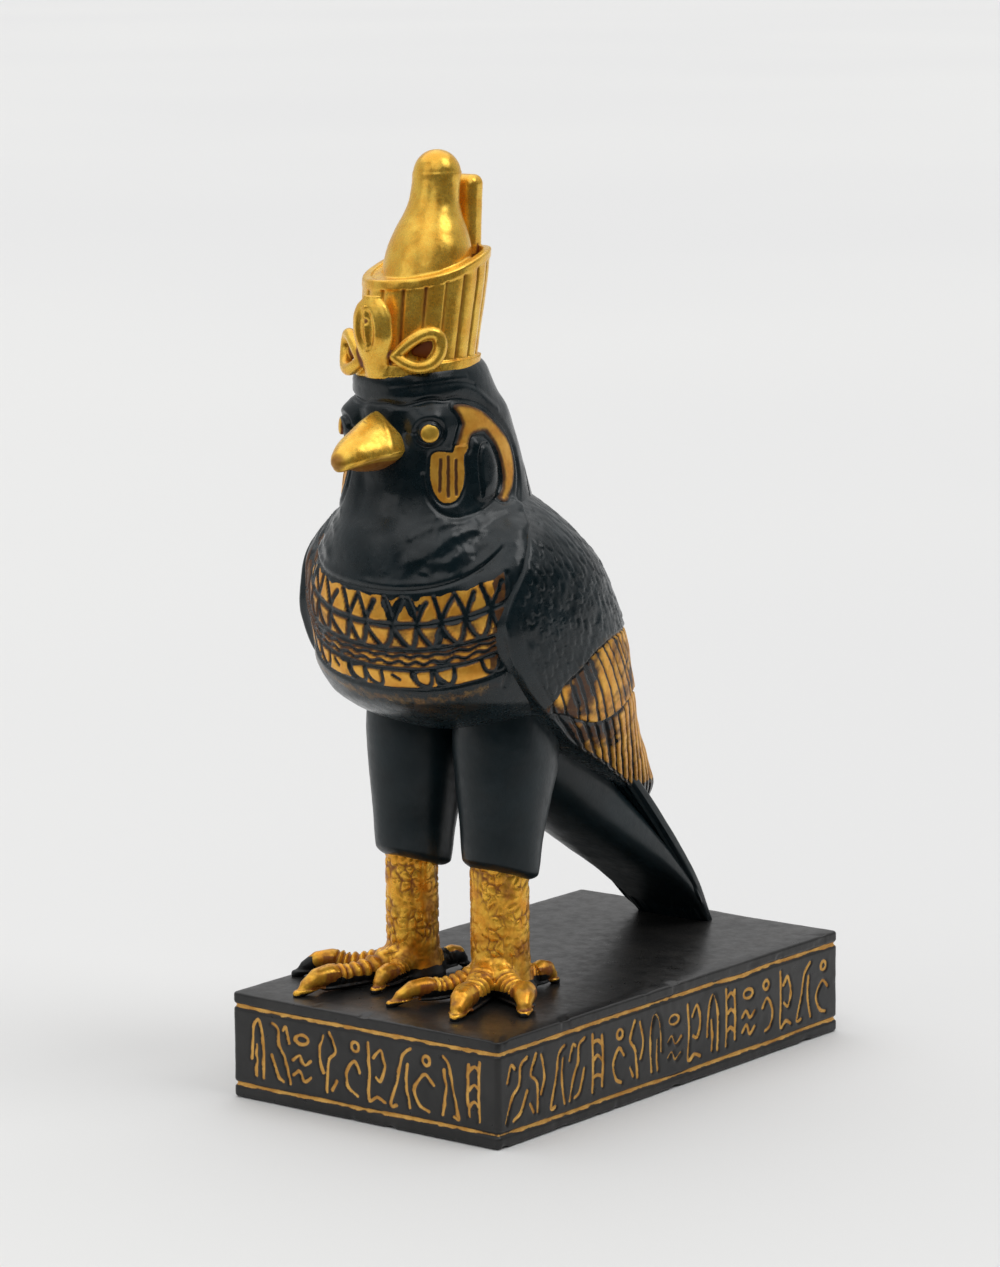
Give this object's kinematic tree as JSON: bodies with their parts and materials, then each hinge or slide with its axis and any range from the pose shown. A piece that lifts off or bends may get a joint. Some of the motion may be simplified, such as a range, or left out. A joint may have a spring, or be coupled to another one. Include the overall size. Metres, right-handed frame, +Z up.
{
  "type": "horus falcon figure",
  "caption": "Souvenir falcon statuette with a double crown, folded wings and a tail reaching down to its inscribed rectangular plinth, dark paint with gold details.",
  "frame": {"origin": "middle of the plinth's flat underside", "axes": "+Z up; the falcon faces -Y, so the plinth's length runs along Y; +X is the falcon's own left side"},
  "size_m": [0.054, 0.0959, 0.15],
  "materials": {
    "dark_paint": "satin teal-black paint on cast resin",
    "gold_paint": "metallic gold paint with a brown wash in the recesses"
  },
  "bodies": {
    "root": {"horus_falcon_figure": "dark_paint"}
  },
  "joints": []
}
